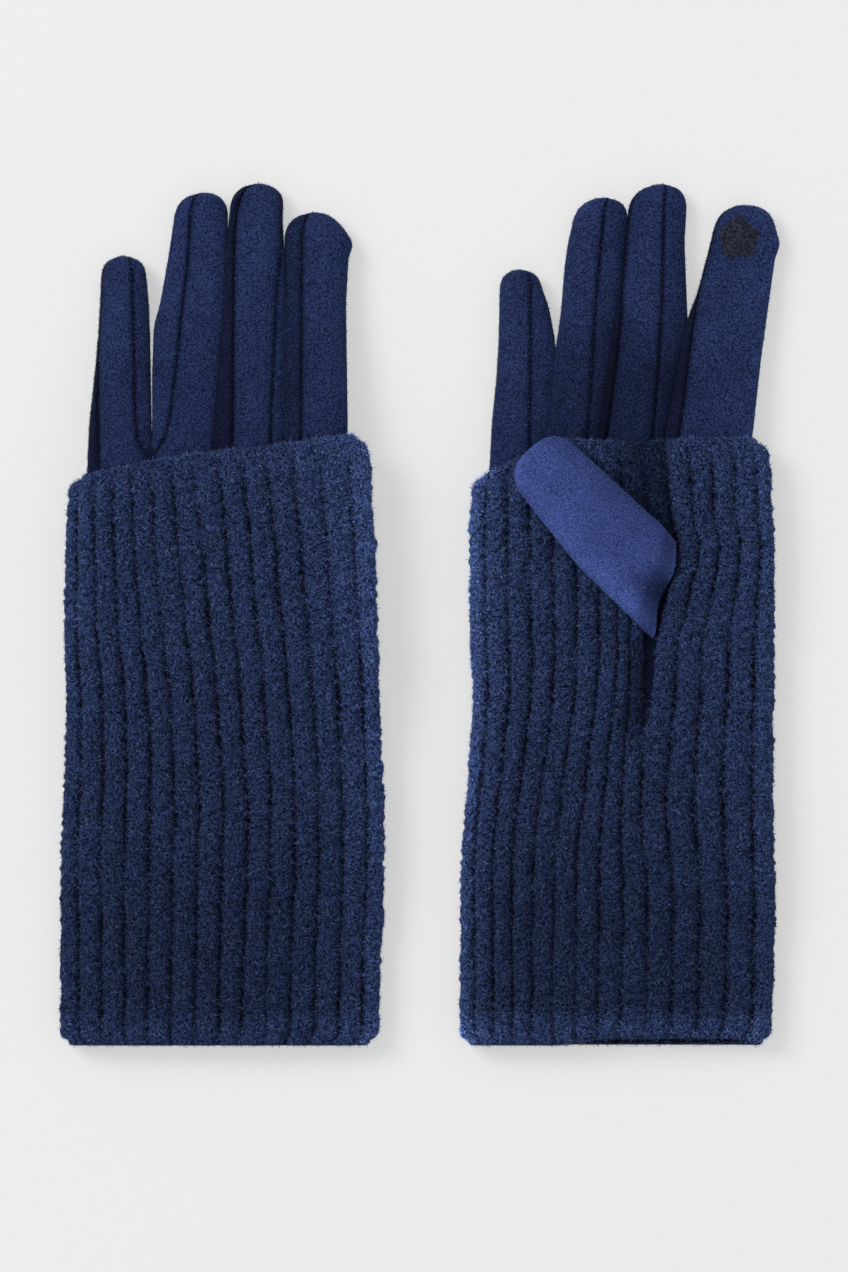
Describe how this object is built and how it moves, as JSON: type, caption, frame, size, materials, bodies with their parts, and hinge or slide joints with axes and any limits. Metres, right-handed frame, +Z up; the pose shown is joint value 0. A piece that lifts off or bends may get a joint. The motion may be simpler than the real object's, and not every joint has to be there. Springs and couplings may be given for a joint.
{
  "type": "pair of layered gloves",
  "caption": "Pair of suede gloves with sewn fourchettes, each worn inside a fingerless rib-knit sleeve with a slit for the thumb.",
  "frame": {"origin": "middle of the pair's bounding box, on the table", "axes": "+Z up from the table, +Y towards the fingertips, +X towards the index fingers"},
  "size_m": [0.2404, 0.2879, 0.0235],
  "materials": {
    "suede": "matte",
    "rib_knit": "matte",
    "embroidery": "matte"
  },
  "bodies": {
    "left_glove": {"left_hand_back": "suede", "left_hand_palm": "suede", "left_fourchette_webs": "suede", "left_glove_hem": "suede", "left_thumb_root": "suede"},
    "left_sleeve": {"left_sleeve_back": "rib_knit", "left_sleeve_palm": "rib_knit", "left_sleeve_seam": "rib_knit", "left_sleeve_top_edge": "rib_knit", "left_sleeve_hem": "rib_knit"},
    "left_thumb": {"left_thumb_outer": "suede", "left_thumb_inner": "suede"},
    "left_little": {"left_little_back": "suede", "left_little_palm": "suede", "left_little_fourchettes": "suede"},
    "left_ring": {"left_ring_back": "suede", "left_ring_palm": "suede", "left_ring_fourchettes": "suede"},
    "left_middle": {"left_middle_back": "suede", "left_middle_palm": "suede", "left_middle_fourchettes": "suede"},
    "left_index": {"left_index_back": "suede", "left_index_palm": "suede", "left_index_fourchettes": "suede", "left_touch_patch": "embroidery"},
    "right_glove": {"right_hand_back": "suede", "right_hand_palm": "suede", "right_fourchette_webs": "suede", "right_glove_hem": "suede", "right_thumb_root": "suede"},
    "right_sleeve": {"right_sleeve_back": "rib_knit", "right_sleeve_palm": "rib_knit", "right_sleeve_seam": "rib_knit", "right_sleeve_top_edge": "rib_knit", "right_sleeve_hem": "rib_knit"},
    "right_thumb": {"right_thumb_outer": "suede", "right_thumb_inner": "suede"},
    "right_little": {"right_little_back": "suede", "right_little_palm": "suede", "right_little_fourchettes": "suede"},
    "right_ring": {"right_ring_back": "suede", "right_ring_palm": "suede", "right_ring_fourchettes": "suede"},
    "right_middle": {"right_middle_back": "suede", "right_middle_palm": "suede", "right_middle_fourchettes": "suede"},
    "right_index": {"right_index_back": "suede", "right_index_palm": "suede", "right_index_fourchettes": "suede", "right_touch_patch": "embroidery"}
  },
  "joints": [
    {"name": "left_sleeve_pull", "type": "slide", "parent": "left_glove", "child": "left_sleeve", "axis": [0, -1, 0], "range_m": [0, 0.014]},
    {"name": "left_thumb_swing", "type": "hinge", "parent": "left_glove", "child": "left_thumb", "pos_m": [-0.0537, 0.0065, 0.00355], "axis": [0, 0, -1], "range_deg": [0, 85]},
    {"name": "left_little_fold", "type": "hinge", "parent": "left_glove", "child": "left_little", "pos_m": [-0.0988, 0.064, 0.02], "axis": [1, 0, 0], "range_deg": [0, 85]},
    {"name": "left_ring_fold", "type": "hinge", "parent": "left_glove", "child": "left_ring", "pos_m": [-0.0765, 0.064, 0.02], "axis": [1, 0, 0], "range_deg": [0, 85]},
    {"name": "left_middle_fold", "type": "hinge", "parent": "left_glove", "child": "left_middle", "pos_m": [-0.0548, 0.064, 0.02], "axis": [1, 0, 0], "range_deg": [0, 85]},
    {"name": "left_index_fold", "type": "hinge", "parent": "left_glove", "child": "left_index", "pos_m": [-0.0334, 0.064, 0.02], "axis": [1, 0, 0], "range_deg": [0, 85]},
    {"name": "right_sleeve_pull", "type": "slide", "parent": "right_glove", "child": "right_sleeve", "axis": [0, -1, 0], "range_m": [0, 0.014]},
    {"name": "right_thumb_swing", "type": "hinge", "parent": "right_glove", "child": "right_thumb", "pos_m": [0.0808, 0.0065, 0.01995], "axis": [0, 0, -1], "range_deg": [0, 85]},
    {"name": "right_little_fold", "type": "hinge", "parent": "right_glove", "child": "right_little", "pos_m": [0.0337, 0.064, 0.0125], "axis": [1, 0, 0], "range_deg": [0, 85]},
    {"name": "right_ring_fold", "type": "hinge", "parent": "right_glove", "child": "right_ring", "pos_m": [0.0516, 0.064, 0.0125], "axis": [1, 0, 0], "range_deg": [0, 85]},
    {"name": "right_middle_fold", "type": "hinge", "parent": "right_glove", "child": "right_middle", "pos_m": [0.0709, 0.064, 0.0125], "axis": [1, 0, 0], "range_deg": [0, 85]},
    {"name": "right_index_fold", "type": "hinge", "parent": "right_glove", "child": "right_index", "pos_m": [0.0972, 0.064, 0.0125], "axis": [1, 0, 0], "range_deg": [0, 85]},
    {"name": "right_glove_lift", "type": "slide", "parent": "left_glove", "child": "right_glove", "axis": [0, 0, 1], "range_m": [0, 0.12]}
  ]
}
